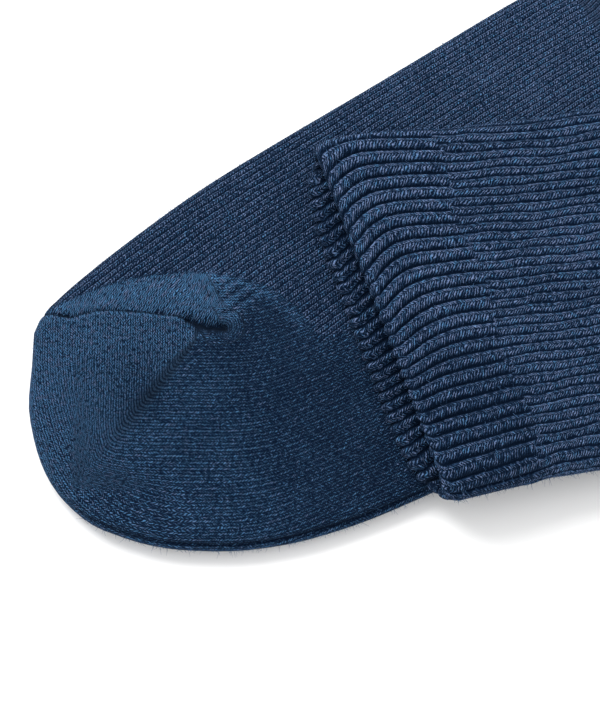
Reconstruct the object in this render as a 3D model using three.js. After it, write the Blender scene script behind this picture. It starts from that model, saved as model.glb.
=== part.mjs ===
// A pair of ribbed crew socks, each lying flat on its side, the cuff of one over the foot of the other.
// Millimetres, +Z up, resting on z = 0, with the origin under the middle of the pair.
// Each sock is one knitted tube: a wall round a flat hollow, closed at the toe and open at the cuff.

import * as THREE from "three";

// Driving sizes of one sock
const footLength = 158; // toe tip to the start of the ankle, along the middle
const ankleRadius = 55; // of the middle line, round the ankle
const ankleTurn = THREE.MathUtils.degToRad(58);
const legLength = 165; // end of the ankle to the cuff edge
const cuffDepth = 23;
const wall = 1.8; // thickness of the knit, thicker in the toe and in the turned cuff
const toeWall = 2.4;
const cuffWall = 2;
const ankleEnd = footLength + ankleRadius * ankleTurn;
const cuffEdge = ankleEnd + legLength;
const cuffStart = cuffEdge - cuffDepth;

// How each sock lies: the toe tip or the cuff is put at a point, and the middle line starts at a heading.
// frontSide is 1 where the instep lies left of the way from toe to cuff, and -1 where it lies right.
const lowerSock = {
  name: "lower_sock",
  frontSide: 1,
  heading: THREE.MathUtils.degToRad(29),
  toeAt: { x: -57.2, y: -21.3 },
  mouthSlant: 0.03,
};
const upperSock = {
  name: "upper_sock",
  frontSide: -1,
  heading: THREE.MathUtils.degToRad(190.4) + ankleTurn,
  cuffAt: { x: 17.5, y: 6 },
  mouthSlant: 0.15,
};
const pairMiddle = { x: 124.1, y: 114.05 }; // the layout point that becomes the origin
const clearance = 0.35; // between the two socks
const underCuffHeight = 6.45; // highest point of the lower sock below the upper one
const restingMargin = 7; // the upper sock stays level this far past the lower sock's outline
const fallLength = 52; // and comes down to the floor over this length

// Outline from the toe tip to the cuff edge. front and back: reach of the instep side and the sole side
// from the middle line. height: thickness of the flattened tube. crown: extra height in its middle.
const outline = [
  { along: 0, front: -7, back: -7, height: 7.2, crown: 0, wall: toeWall },
  { along: 1.5, front: 2.9, back: -15.8, height: 7.2, crown: 0, wall: toeWall },
  { along: 3.5, front: 8.8, back: -20.7, height: 7.2, crown: 0.2, wall: toeWall },
  { along: 7, front: 14.8, back: -25.4, height: 7.2, crown: 0.5, wall: toeWall },
  { along: 13.5, front: 25, back: -32, height: 7, crown: 0.9, wall: toeWall },
  { along: 20, front: 28.4, back: -36.4, height: 6.8, crown: 1.2, wall: toeWall },
  { along: 30, front: 31.5, back: -41.5, height: 6.4, crown: 1.2, wall: toeWall },
  { along: 43, front: 34.5, back: -45.5, height: 6, crown: 0.9, wall: (wall + toeWall) / 2 },
  { along: 60, front: 37.4, back: -48.1, height: 5.6, crown: 0.6, wall },
  { along: 85, front: 39.8, back: -49.6, height: 5.5, crown: 0.5, wall },
  { along: 120, front: 42.5, back: -49.9, height: 5.5, crown: 0.5, wall },
  { along: 158, front: 45, back: -51, height: 5.7, crown: 0.5, wall },
  { along: 186, front: 46, back: -61, height: 6, crown: 0.4, wall },
  { along: 214, front: 43, back: -46.5, height: 5.8, crown: 0.6, wall },
  { along: 250, front: 42, back: -42, height: 5.8, crown: 0.9, wall },
  { along: 330, front: 42, back: -40.6, height: 6.2, crown: 1.1, wall },
  { along: 352, front: 42.6, back: -40.5, height: 7.8, crown: 1.2, wall: (wall + cuffWall) / 2 },
  { along: 368, front: 43.4, back: -41.4, height: 9.8, crown: 0.9, wall: cuffWall },
  { along: 379, front: 43.2, back: -41.9, height: 10.4, crown: 0.6, wall: cuffWall },
];

// The toe: an oval cap in plain knit, its closing seam from the instep to a pucker, and the gore from
// there to the tip. Places are along the sock and across it, from the middle line to the instep side.
const toeCap = { along: 20.7, side: -3, halfLength: 44.8, halfWidth: 29.3 };
const closingSeam = [
  { along: 13.5, side: 25 },
  { along: 27.1, side: 20.6 },
  { along: 36, side: 16.1 },
  { along: 43.1, side: 9.4 },
  { along: 50.4, side: 4.4 },
];
const gore = [
  { along: 42.3, side: 0.8 },
  { along: 31.9, side: -2.7 },
  { along: 12.4, side: -5.1 },
];
// Dents round the seam and gore. One with a depth below zero is a swell.
const dents = [
  { along: 49, side: 4.8, depth: 1.1, reach: 5 },
  { along: 25.8, side: 3, depth: 0.8, reach: 8 },
  { along: 38, side: 18.5, depth: -0.7, reach: 6 },
  { along: 26, side: 23, depth: -0.5, reach: 4 },
];
const seamGroove = { depth: 0.7, reach: 2.6 };
const goreGroove = { depth: 0.35, reach: 2.4 };

// Ribs: a crest and a groove for each, over the whole upper side of the leg and cuff, and on the instep
const cuffRib = { count: 33, relief: 0.6 };
const legRib = { count: 44, relief: 0.4 };
const instepRib = { count: 21, relief: 0.3 };
const instepShare = 0.5; // share of the foot's upper side that is ribbed
const soleSteps = 16;
const undersideSteps = 5;
const liningSteps = 8; // of the plain inside, for its upper and for its lower half
const ribFade = 0.06; // ribs sink into the wall over this share of the upper side, at its two edges

// The mouth of the cuff: its lower layer reaches out past the upper one, and its rim is rounded
const mouthLip = { reach: 4.5, fade: 16, rim: 0.6 };
const slantFade = 60; // the slant of the cuff edge has gone at this distance from it
const hollowEnd = 13; // the hollow stops this far from the toe tip
const finestStep = 1e-6;

// Rows of the wall from toe to cuff. A zone has one kind of ring, and squared rows crowd to its start.
const zones = [
  { ring: "foot", from: 0, to: 13.5, rows: 5, squared: true },
  { ring: "foot", from: 13.5, to: 66, rows: 12, squared: false },
  { ring: "foot", from: 66, to: footLength, rows: 3, squared: false },
  { ring: "foot", from: footLength, to: ankleEnd, rows: 6, squared: false },
  { ring: "leg", from: ankleEnd + 2, to: cuffStart, rows: 6, squared: false },
  { ring: "cuff", from: cuffStart + 2, to: cuffEdge - 1, rows: 4, squared: false },
];

// Rows of the plain inside, from the mouth back to the end of the hollow
const insideZones = [
  { from: cuffEdge, to: cuffStart, rows: 3 },
  { from: cuffStart, to: ankleEnd, rows: 2 },
  { from: ankleEnd, to: footLength, rows: 4 },
  { from: footLength, to: 60, rows: 3 },
  { from: 60, to: hollowEnd + 2, rows: 6 },
];

const { clamp, lerp, smoothstep } = THREE.MathUtils;

// Smooth value of one outline column: the rows are joined in the square root of the length, which
// rounds the toe, with slopes that never overshoot a row.
const outlineRoots = outline.map((row) => Math.sqrt(row.along));

function slopeBetween(column, index) {
  const rise = outline[index + 1][column] - outline[index][column];
  return rise / (outlineRoots[index + 1] - outlineRoots[index]);
}

function slopeAt(column, index) {
  const last = outline.length - 1;
  if (index === 0) return slopeBetween(column, 0);
  if (index === last) return slopeBetween(column, last - 1);
  const before = slopeBetween(column, index - 1);
  const after = slopeBetween(column, index);
  if (before * after <= 0) return 0;
  return (2 * before * after) / (before + after);
}

function outlineValue(column, along) {
  const last = outline.length - 1;
  const root = clamp(Math.sqrt(Math.max(along, 0)), 0, outlineRoots[last]);
  let index = 0;
  while (index < last - 1 && root > outlineRoots[index + 1]) index += 1;
  const span = outlineRoots[index + 1] - outlineRoots[index];
  const t = (root - outlineRoots[index]) / span;
  const startPart = (1 + 2 * t) * (1 - t) ** 2;
  const endPart = t * t * (3 - 2 * t);
  const startSlopePart = t * (1 - t) ** 2 * span;
  const endSlopePart = t * t * (t - 1) * span;
  return (
    startPart * outline[index][column] +
    endPart * outline[index + 1][column] +
    startSlopePart * slopeAt(column, index) +
    endSlopePart * slopeAt(column, index + 1)
  );
}

// The middle line: straight foot, round ankle, straight leg, in the sock's own plane
function middleLine(along, frontSide) {
  if (along <= footLength) return { x: along, y: 0, turn: 0 };
  const turned = Math.min((along - footLength) / ankleRadius, ankleTurn);
  const beyond = Math.max(along - ankleEnd, 0);
  return {
    x: footLength + ankleRadius * Math.sin(turned) + beyond * Math.cos(turned),
    y: frontSide * (ankleRadius * (1 - Math.cos(turned)) + beyond * Math.sin(turned)),
    turn: frontSide * turned,
  };
}

// The sock's own plane turned to its heading and put at its place on the floor
function turnedPlace(sock, x, y) {
  const c = Math.cos(sock.heading);
  const s = Math.sin(sock.heading);
  return { x: c * x - s * y, y: s * x + c * y };
}

function toeTip(sock) {
  if (sock.toeAt) return sock.toeAt;
  const end = middleLine(cuffEdge, sock.frontSide);
  const fromToe = turnedPlace(sock, end.x, end.y);
  return { x: sock.cuffAt.x - fromToe.x, y: sock.cuffAt.y - fromToe.y };
}

function floorPlace(sock, along, side) {
  const middle = middleLine(along, sock.frontSide);
  const x = middle.x - sock.frontSide * side * Math.sin(middle.turn);
  const y = middle.y + sock.frontSide * side * Math.cos(middle.turn);
  const turned = turnedPlace(sock, x, y);
  const tip = toeTip(sock);
  return { x: tip.x + turned.x, y: tip.y + turned.y };
}

// The lower sock's outline on the floor, and how far a point lies outside it
const outlinePieces = 60;
const footprint = [];
for (const [column, forwards] of [["front", true], ["back", false]]) {
  for (let step = 0; step <= outlinePieces; step += 1) {
    const share = forwards ? step / outlinePieces : 1 - step / outlinePieces;
    const along = cuffEdge * share * share;
    footprint.push(floorPlace(lowerSock, along, outlineValue(column, along)));
  }
}

function distanceOutside(x, y) {
  let nearest = Infinity;
  let inside = false;
  footprint.forEach((end, index) => {
    const start = footprint[(index + footprint.length - 1) % footprint.length];
    const dx = end.x - start.x;
    const dy = end.y - start.y;
    const lengthSquared = Math.max(dx * dx + dy * dy, finestStep);
    const share = clamp(((x - start.x) * dx + (y - start.y) * dy) / lengthSquared, 0, 1);
    nearest = Math.min(nearest, Math.hypot(x - start.x - share * dx, y - start.y - share * dy));
    const crosses = start.y > y !== end.y > y;
    if (crosses && x < start.x + ((y - start.y) / dy) * dx) inside = !inside;
  });
  return inside ? 0 : nearest;
}

// Height of the surface that a sock lies on: the floor, or the lower sock and the slope down from it
function restingHeight(sock, x, y) {
  if (sock === lowerSock) return 0;
  const share = (distanceOutside(x, y) - restingMargin) / fallLength;
  return (underCuffHeight + clearance) * (1 - smoothstep(share, 0, 1));
}

// Depth of a groove at its distance from a point
function grooveDepth(distance, groove) {
  return groove.depth * Math.exp(-((distance / groove.reach) ** 2));
}

function distanceToLine(line, along, side) {
  let nearest = Infinity;
  for (let index = 1; index < line.length; index += 1) {
    const start = line[index - 1];
    const end = line[index];
    const da = end.along - start.along;
    const ds = end.side - start.side;
    const share = clamp(((along - start.along) * da + (side - start.side) * ds) / (da * da + ds * ds), 0, 1);
    nearest = Math.min(nearest, Math.hypot(along - start.along - share * da, side - start.side - share * ds));
  }
  return nearest;
}

function toeRelief(along, side) {
  let relief = -grooveDepth(distanceToLine(closingSeam, along, side), seamGroove);
  relief -= grooveDepth(distanceToLine(gore, along, side), goreGroove);
  for (const dent of dents) {
    relief -= grooveDepth(Math.hypot(along - dent.along, side - dent.side), dent);
  }
  return relief;
}

// Rib height: full on cuff and leg, on the instep outside the toe cap, and none in the heel and sole
function insideToeCap(along, side) {
  const a = Math.max(along - toeCap.along, 0) / toeCap.halfLength;
  const s = (side - toeCap.side) / toeCap.halfWidth;
  return along < toeCap.along ? s < 1 : Math.hypot(a, s) < 1;
}

function ribRelief(ring, along, side, upperShare) {
  const edge = clamp(Math.min(upperShare, 1 - upperShare) / ribFade, 0, 1);
  if (ring === "cuff") return cuffRib.relief * edge;
  if (ring === "leg") return legRib.relief * edge;
  if (insideToeCap(along, side)) return 0;
  const share = clamp((instepShare - upperShare) / ribFade, 0, 1);
  return instepRib.relief * Math.min(edge, share);
}

// Where the points of a ring stand: shares of its upper side from instep edge to sole edge, the ribs
// as crest and groove in turn, and then shares of its underside back to the start.
function ringShares(ring) {
  const shares = [];
  const ribbed = { foot: instepRib, leg: legRib, cuff: cuffRib, inside: null }[ring];
  const reach = ring === "foot" ? instepShare : 1;
  const ribSteps = ribbed ? 2 * ribbed.count : liningSteps;
  for (let step = 0; step < ribSteps; step += 1) {
    shares.push({ upper: (reach * step) / ribSteps, crest: Boolean(ribbed) && step % 2 === 1 });
  }
  if (ring === "foot") {
    for (let step = 0; step < soleSteps; step += 1) {
      shares.push({ upper: lerp(instepShare, 1, step / soleSteps), crest: false });
    }
  }
  const underSteps = ring === "inside" ? liningSteps : undersideSteps;
  for (let step = 0; step < underSteps; step += 1) {
    shares.push({ under: step / underSteps, crest: false });
  }
  return shares;
}

// Section of the flattened tube: level underside, half-round sides, and a slightly crowned top.
// inset shrinks it all round, to the wall's inner face.
function sectionSizes(along, inset) {
  const front = outlineValue("front", along) - inset;
  const back = outlineValue("back", along) + inset;
  const fullHeight = outlineValue("height", along);
  const noseLength = fullHeight / 2;
  const nose = Math.sqrt(1 - (1 - clamp(along / noseLength, 0, 1)) ** 2);
  const halfHeight = (fullHeight / 2) * nose - inset;
  const halfRound = Math.min(halfHeight, (front - back) / 2);
  return { front, back, halfHeight, halfRound, middle: fullHeight / 2, crown: outlineValue("crown", along) };
}

function sectionPoint(share, size) {
  const roundLength = (Math.PI * (size.halfRound + size.halfHeight)) / 2;
  const levelLength = Math.max(size.front - size.back - 2 * size.halfRound, 0);
  if (share.under !== undefined) {
    const side = lerp(size.back + size.halfRound, size.front - size.halfRound, share.under);
    return { side, height: size.middle - size.halfHeight, outSide: 0, outUp: -1 };
  }
  const distance = share.upper * (2 * roundLength + levelLength);
  const fromFront = Math.min(distance, 2 * roundLength + levelLength - distance) / roundLength;
  const angle = Math.PI * (Math.min(fromFront, 1) - 0.5);
  const nearFront = distance < roundLength + levelLength / 2;
  const sign = nearFront ? 1 : -1;
  const edge = nearFront ? size.front : size.back;
  const round = edge - sign * size.halfRound * (1 - Math.cos(angle));
  const level = fromFront > 1 ? sign * (fromFront - 1) * roundLength : 0;
  const side = round - level;
  const across = (2 * side - size.front - size.back) / Math.max(size.front - size.back, finestStep);
  const upward = clamp(Math.sin(angle), 0, 1);
  const crown = size.crown * upward * (1 - across ** 2);
  const height = size.middle + size.halfHeight * Math.sin(angle) + crown;
  return { side, height, outSide: sign * Math.cos(angle), outUp: Math.sin(angle) };
}

// One point of a sock's wall in the layout. layer is 0 on the underside and 1 on the upper side.
function wallPoint(sock, ring, along, share, inset) {
  const size = sectionSizes(along, inset);
  const point = sectionPoint(share, size);
  const rib = share.crest ? ribRelief(ring, along, point.side, share.upper) : 0;
  const side = point.side + rib * point.outSide;
  const upward = clamp(point.outUp, 0, 1);
  const height = point.height + rib * point.outUp + upward * toeRelief(along, side);
  const layer = clamp((point.height - size.middle) / (2 * size.halfHeight) + 0.5, 0, 1);
  const toEdge = cuffEdge - along;
  const slant = sock.mouthSlant * side * (1 - smoothstep(toEdge, 0, slantFade));
  const across = (2 * side) / (size.front - size.back);
  const lipShape = (1 - layer) * Math.max(1 - across ** 6, 0);
  const lip = mouthLip.reach * lipShape * (1 - smoothstep(toEdge, 0, mouthLip.fade));
  const place = floorPlace(sock, along + slant + lip, side);
  return new THREE.Vector3(place.x, place.y, height + restingHeight(sock, place.x, place.y));
}

function wallRing(sock, ring, along, inset) {
  const shares = ringShares(ring);
  const around = shares.map((share) => (share.under === undefined ? share.upper : 1 + share.under) / 2);
  const points = shares.map((share) => wallPoint(sock, ring, along, share, inset));
  return { around, points };
}

// All rows of the outside, then the rim and the rows of the inside, from the toe out and back again
function sockRings(sock) {
  const rings = [];
  zones.forEach((zone, index) => {
    const first = index === 0 || zone.ring !== zones[index - 1].ring ? 0 : 1;
    for (let row = first; row <= zone.rows; row += 1) {
      const share = row / zone.rows;
      const along = lerp(zone.from, zone.to, zone.squared ? share * share : share);
      if (along > 0) rings.push(wallRing(sock, zone.ring, along, 0));
    }
  });
  rings.push(wallRing(sock, "cuff", cuffEdge, mouthLip.rim));
  insideZones.forEach((zone, index) => {
    for (let row = index === 0 ? 0 : 1; row <= zone.rows; row += 1) {
      const along = lerp(zone.from, zone.to, row / zone.rows);
      rings.push(wallRing(sock, "inside", along, outlineValue("wall", along)));
    }
  });
  return rings;
}

// Triangles between two rings with any number of points, stepping round both together
function joinRings(triangles, first, second) {
  const a = first.start;
  const b = second.start;
  const aCount = first.ring.points.length;
  const bCount = second.ring.points.length;
  const aAround = (i) => (i < aCount ? first.ring.around[i] : 1 + first.ring.around[i - aCount]);
  const bAround = (i) => (i < bCount ? second.ring.around[i] : 1 + second.ring.around[i - bCount]);
  let i = 0;
  let j = 0;
  while (i < aCount || j < bCount) {
    const stepFirst = j >= bCount || (i < aCount && aAround(i + 1) <= bAround(j + 1));
    if (stepFirst) triangles.push([a + (i % aCount), a + ((i + 1) % aCount), b + (j % bCount)]);
    else triangles.push([a + (i % aCount), b + ((j + 1) % bCount), b + (j % bCount)]);
    if (stepFirst) i += 1;
    else j += 1;
  }
}

function closeEnd(triangles, ring, start, tip, reversed) {
  const count = ring.points.length;
  for (let i = 0; i < count; i += 1) {
    const pair = [start + i, start + ((i + 1) % count)];
    triangles.push(reversed ? [tip, pair[0], pair[1]] : [tip, pair[1], pair[0]]);
  }
}

function sockGeometry(sock) {
  const rings = sockRings(sock);
  const points = [];
  const starts = rings.map((ring) => {
    const start = points.length;
    points.push(...ring.points);
    return start;
  });
  const toeMiddle = outlineValue("front", 0);
  const tipPlace = floorPlace(sock, 0, toeMiddle);
  const tipHeight = outlineValue("height", 0) / 2;
  points.push(new THREE.Vector3(tipPlace.x, tipPlace.y, tipHeight));
  const innerPlace = floorPlace(sock, hollowEnd, toeMiddle);
  points.push(new THREE.Vector3(innerPlace.x, innerPlace.y, tipHeight));

  const triangles = [];
  closeEnd(triangles, rings[0], starts[0], points.length - 2, false);
  for (let index = 1; index < rings.length; index += 1) {
    const before = { ring: rings[index - 1], start: starts[index - 1] };
    joinRings(triangles, before, { ring: rings[index], start: starts[index] });
  }
  closeEnd(triangles, rings[rings.length - 1], starts[starts.length - 1], points.length - 1, true);
  if (sock.frontSide < 0) triangles.forEach((corners) => corners.reverse());

  const geometry = new THREE.BufferGeometry();
  geometry.setAttribute(
    "position",
    new THREE.Float32BufferAttribute(points.flatMap((point) => point.toArray()), 3),
  );
  geometry.setIndex(triangles.flat());
  geometry.computeVertexNormals();
  return geometry;
}

// The pair
const pair = new THREE.Group();
for (const sock of [lowerSock, upperSock]) {
  const knit = new THREE.MeshStandardMaterial({ color: 0x2a3f5e, roughness: 0.95, metalness: 0 });
  const mesh = new THREE.Mesh(sockGeometry(sock), knit);
  mesh.name = sock.name;
  mesh.position.set(-pairMiddle.x, -pairMiddle.y, 0);
  pair.add(mesh);
}

export default pair;
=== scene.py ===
# A pair of ribbed crew socks in heathered navy cotton, each lying on its side, one cuff over a foot.
# Lengths here are millimetres in the layout plane, and become metres in the frame when a mesh is made.
import math

import bpy
import numpy as np
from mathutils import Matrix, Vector


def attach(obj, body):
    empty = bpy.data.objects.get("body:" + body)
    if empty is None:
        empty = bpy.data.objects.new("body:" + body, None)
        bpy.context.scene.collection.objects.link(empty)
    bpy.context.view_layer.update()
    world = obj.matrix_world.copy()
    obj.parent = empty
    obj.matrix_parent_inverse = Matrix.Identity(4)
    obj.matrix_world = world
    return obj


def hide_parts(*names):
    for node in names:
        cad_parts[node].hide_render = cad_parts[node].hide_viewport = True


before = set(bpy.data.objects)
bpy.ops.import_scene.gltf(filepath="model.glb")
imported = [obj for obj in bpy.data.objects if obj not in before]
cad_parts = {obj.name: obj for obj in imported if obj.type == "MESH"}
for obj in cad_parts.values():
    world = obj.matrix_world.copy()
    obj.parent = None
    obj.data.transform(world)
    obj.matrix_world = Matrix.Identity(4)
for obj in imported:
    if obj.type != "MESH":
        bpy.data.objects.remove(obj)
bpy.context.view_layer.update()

MM = 0.001
DICE = np.random.default_rng(7)
RIB_LUCK = DICE.uniform(-1, 1, 97)

# Driving sizes of one sock
FOOT_LENGTH = 158.0
ANKLE_RADIUS = 55.0
ANKLE_TURN = math.radians(58)
LEG_LENGTH = 165.0
CUFF_DEPTH = 23.0
WALL = 1.8
TOE_WALL = 2.4
CUFF_WALL = 2.0
ANKLE_END = FOOT_LENGTH + ANKLE_RADIUS * ANKLE_TURN
CUFF_EDGE = ANKLE_END + LEG_LENGTH

LOWER = {
    "name": "lower_sock",
    "front_side": 1,
    "heading": math.radians(29),
    "toe_at": (-57.2, -21.3),
    "slant": 0.03,
}
UPPER = {
    "name": "upper_sock",
    "front_side": -1,
    "heading": math.radians(190.4) + ANKLE_TURN,
    "cuff_at": (17.5, 6.0),
    "slant": 0.15,
}
PAIR_MIDDLE = (124.1, 114.05)
CLEARANCE = 0.35
UNDER_CUFF_HEIGHT = 6.45
RESTING_MARGIN = 7.0
FALL_LENGTH = 52.0

# Outline from the toe tip to the cuff edge
COLUMNS = ("along", "front", "back", "height", "crown", "wall")
OUTLINE = (
    (0, -7, -7, 7.2, 0, TOE_WALL),
    (1.5, 2.9, -15.8, 7.2, 0, TOE_WALL),
    (3.5, 8.8, -20.7, 7.2, 0.2, TOE_WALL),
    (7, 14.8, -25.4, 7.2, 0.5, TOE_WALL),
    (13.5, 25, -32, 7, 0.9, TOE_WALL),
    (20, 28.4, -36.4, 6.8, 1.2, TOE_WALL),
    (30, 31.5, -41.5, 6.4, 1.2, TOE_WALL),
    (43, 34.5, -45.5, 6, 0.9, (WALL + TOE_WALL) / 2),
    (60, 37.4, -48.1, 5.6, 0.6, WALL),
    (85, 39.8, -49.6, 5.5, 0.5, WALL),
    (120, 42.5, -49.9, 5.5, 0.5, WALL),
    (158, 45, -51, 5.7, 0.5, WALL),
    (186, 46, -61, 6, 0.4, WALL),
    (214, 43, -46.5, 5.8, 0.6, WALL),
    (250, 42, -42, 5.8, 0.9, WALL),
    (330, 42, -40.6, 6.2, 1.1, WALL),
    (352, 42.6, -40.5, 7.8, 1.2, (WALL + CUFF_WALL) / 2),
    (368, 43.4, -41.4, 9.8, 0.9, CUFF_WALL),
    (379, 43.2, -41.9, 10.4, 0.6, CUFF_WALL),
)

# Ribs and knit. Wales are counted, and courses and pitches are in millimetres.
CUFF_RIBS = 33
LEG_RIBS = 44
CUFF_UNDER_RIBS = 27
CUFF_RELIEF = {"rim": 0.55, "edge": 1.2, "leg": 0.75, "lip": 1.35, "inside": 0.8}
LEG_RELIEF = 0.34
INSTEP_RELIEF = 0.15
INSTEP_PITCH = {"toe": 2.65, "heel": 2.35}
SOLE_WALES = 33
TOE_WALES = 33.5
ROLL_WALES = 0.45
BAND_WALE = 1.0
BAND_END = 52.0
COURSE = 0.64

# Toe
TOE_CAP = {"along": 20.7, "side": -3.0, "half_length": 44.8, "half_width": 29.3}
SEAM = (
    (16.3, 26.6), (19.1, 24.3), (21.0, 22.7), (23.6, 22.1), (26.5, 21.5), (29, 20.3), (36, 15.9),
    (41.3, 12.0), (43.3, 10.2),
)
PUCKER = ((43.3, 10.2), (46.0, 6.9), (49.3, 5.0))
KNOB = {"from": 44.0, "reach": 4.4, "wale": 1.05, "round": 3.5}
SEAM_STITCH = 0.9
FAR_FROM_SEAM = 60.0
CORNER_NOTCH = ((19.0, 24.4), (21.2, 22.6))
FAN_GROOVES = (
    ((50.1, 14.6), (50.0, 13.0)),
    ((52.0, 14.8), (53.4, 14.6)),
    ((51.7, 12.4), (53.2, 12.1)),
    ((50.8, 7.8), (53.1, 7.3)),
)
WEDGE_DENT = (25.5, 2.5)
EAR_PINCH = (9.5, 19.5)

# Toe shapes, each with the relief it adds and the brightness it paints: painted highlight where positive and
# painted shade where negative
TOE_SHAPES = (
    ("band", 0.5, 0.35),
    ("oval_edge", 0.25, 0.45),
    ("fan_ribs", 0.4, 0.7),
    ("rim_line", -0.5, -0.6),
    ("rim_roll", 0.2, 0.2),
)

# Toe marks, each with how far it lies from its line or point, its reach, the relief it adds, and the
# brightness it paints: painted highlight where positive and painted shade where negative
TOE_MARKS = (
    ("seam", 0.0, 0.35, -0.3, 0.0),
    ("seam", 2.0, 1.3, 0.15, 0.0),
    ("pucker", 0.0, 1.15, -1.4, 0.0),
    ("pucker", 3.2, 1.6, 0.4, 0.0),
    ("pucker", 0.0, 0.9, 0.0, -1.1),
    ("pucker", 3.0, 1.3, 0.0, 0.2),
    ("pinch", 0.0, 3.2, -0.8, 0.0),
    ("fan", 0.0, 0.4, -0.4, -0.8),
    ("notch", 0.0, 0.7, -0.4, 0.0),
    ("notch", 0.0, 0.45, 0.0, -0.6),
    ("dent", 0.0, 8.0, -0.9, 0.0),
    ("dent", 0.0, 7.5, 0.0, -0.45),
)
GORE_CORNER = {"x": 35.0, "y": 25.5, "join": 3.0}
SOLE_TURN = {"x": 50.0, "reach": 3.5, "slope": 0.5}

# Mouth
LIP_REACH = 5.0
LIP_FADE = 16.0
EDGE_DROOP = 1.6
SLANT_FADE = 60.0
RIM_CENTRE = CUFF_EDGE - CUFF_WALL / 2
RIM_LENGTH = 5.0
LIP_FAN = {"shift": 4.5, "fade": 9.0, "between": (2, 42)}
TWIST = {"shift": 5.4, "power": 2.3}

# Rows across the cuff: side, share of the twist, and how far from the edge it starts
TWIST_ROWS = (
    (-42, 0.0, 18),
    (-30, 0.0, 18),
    (-24, 0.12, 18),
    (-18, 0.34, 18),
    (-10, 0.82, 18),
    (-3, 1.0, 17),
    (8, 1.0, 14),
    (22, 0.8, 11),
    (36, 0.6, 10),
    (43.5, 0.0, 10),
)

# Camera: 4.6 pixels of a picture 720 high show one millimetre
CAMERA = {
    "elevation": math.radians(68),
    "distance": 650.0,
    "target_height": 4.0,
    "film_width": 36.0,
    "field_height": 720 / 4.6,
}

# Grain of the meshes, which is finest on the toe from one length to the other
FINE_TOE = (15.0, 62.0)
UPPER_COLUMNS = 396
UNDER_COLUMNS = 24
CUFF_UNDER_COLUMNS = 276
HOLLOW_END = 13.0
OUTLINE_PIECES = 60


# Small numeric helpers
def smoothstep(value, start, end):
    t = np.clip((value - start) / (end - start), 0, 1)
    return t * t * (3 - 2 * t)


def lerp(start, end, share):
    return start + (end - start) * share


def rows_from(name):
    return np.array([row[COLUMNS.index(name)] for row in OUTLINE], float)


ROOTS = np.sqrt(rows_from("along"))


def slopes_of(values):
    steps = np.diff(values) / np.diff(ROOTS)
    inner = np.zeros(len(values) - 2)
    same = steps[:-1] * steps[1:] > 0
    before, after = steps[:-1][same], steps[1:][same]
    inner[same] = 2 * before * after / (before + after)
    return np.concatenate(([steps[0]], inner, [steps[-1]]))


TABLE = {name: (rows_from(name), slopes_of(rows_from(name))) for name in COLUMNS[1:]}


def outline_value(name, along):
    values, slopes = TABLE[name]
    root = np.clip(np.sqrt(np.maximum(along, 0)), 0, ROOTS[-1])
    index = np.clip(np.searchsorted(ROOTS, root, side="right") - 1, 0, len(ROOTS) - 2)
    span = ROOTS[index + 1] - ROOTS[index]
    t = (root - ROOTS[index]) / span
    return (
        (1 + 2 * t) * (1 - t) ** 2 * values[index]
        + t * t * (3 - 2 * t) * values[index + 1]
        + t * (1 - t) ** 2 * span * slopes[index]
        + t * t * (t - 1) * span * slopes[index + 1]
    )


# Where a sock lies
def middle_line(along, front_side):
    turned = np.clip((along - FOOT_LENGTH) / ANKLE_RADIUS, 0, ANKLE_TURN)
    beyond = np.maximum(along - ANKLE_END, 0)
    straight = np.minimum(along, FOOT_LENGTH)
    x = straight + ANKLE_RADIUS * np.sin(turned) + beyond * np.cos(turned)
    y = ANKLE_RADIUS * (1 - np.cos(turned)) + beyond * np.sin(turned)
    return x, front_side * y, front_side * turned


def turned_place(sock, x, y):
    c, s = math.cos(sock["heading"]), math.sin(sock["heading"])
    return c * x - s * y, s * x + c * y


def toe_tip(sock):
    if "toe_at" in sock:
        return sock["toe_at"]
    end_x, end_y, _ = middle_line(np.float64(CUFF_EDGE), sock["front_side"])
    x, y = turned_place(sock, end_x, end_y)
    return sock["cuff_at"][0] - x, sock["cuff_at"][1] - y


def floor_place(sock, along, side):
    x, y, turn = middle_line(along, sock["front_side"])
    x = x - sock["front_side"] * side * np.sin(turn)
    y = y + sock["front_side"] * side * np.cos(turn)
    x, y = turned_place(sock, x, y)
    tip = toe_tip(sock)
    return tip[0] + x, tip[1] + y


def lower_footprint():
    share = np.linspace(0, 1, OUTLINE_PIECES + 1)
    along = CUFF_EDGE * share * share
    front = floor_place(LOWER, along, outline_value("front", along))
    back = floor_place(LOWER, along[::-1], outline_value("back", along[::-1]))
    return np.concatenate((np.stack(front, 1), np.stack(back, 1)))


FOOTPRINT = lower_footprint()


def distance_outside(x, y):
    ends = FOOTPRINT
    starts = np.roll(FOOTPRINT, 1, axis=0)
    nearest = np.full(x.shape, np.inf)
    inside = np.zeros(x.shape, bool)
    for (ax, ay), (bx, by) in zip(starts, ends):
        dx, dy = bx - ax, by - ay
        length_squared = max(dx * dx + dy * dy, 1e-9)
        share = np.clip(((x - ax) * dx + (y - ay) * dy) / length_squared, 0, 1)
        nearest = np.minimum(nearest, np.hypot(x - ax - share * dx, y - ay - share * dy))
        if dy != 0:
            crosses = (ay > y) != (by > y)
            inside ^= crosses & (x < ax + (y - ay) / dy * dx)
    return np.where(inside, 0, nearest)


def resting_height(sock, x, y):
    if sock is LOWER:
        return np.zeros(x.shape)
    past = (distance_outside(x, y) - RESTING_MARGIN) / FALL_LENGTH
    return (UNDER_CUFF_HEIGHT + CLEARANCE) * (1 - smoothstep(past, 0, 1))


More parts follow.
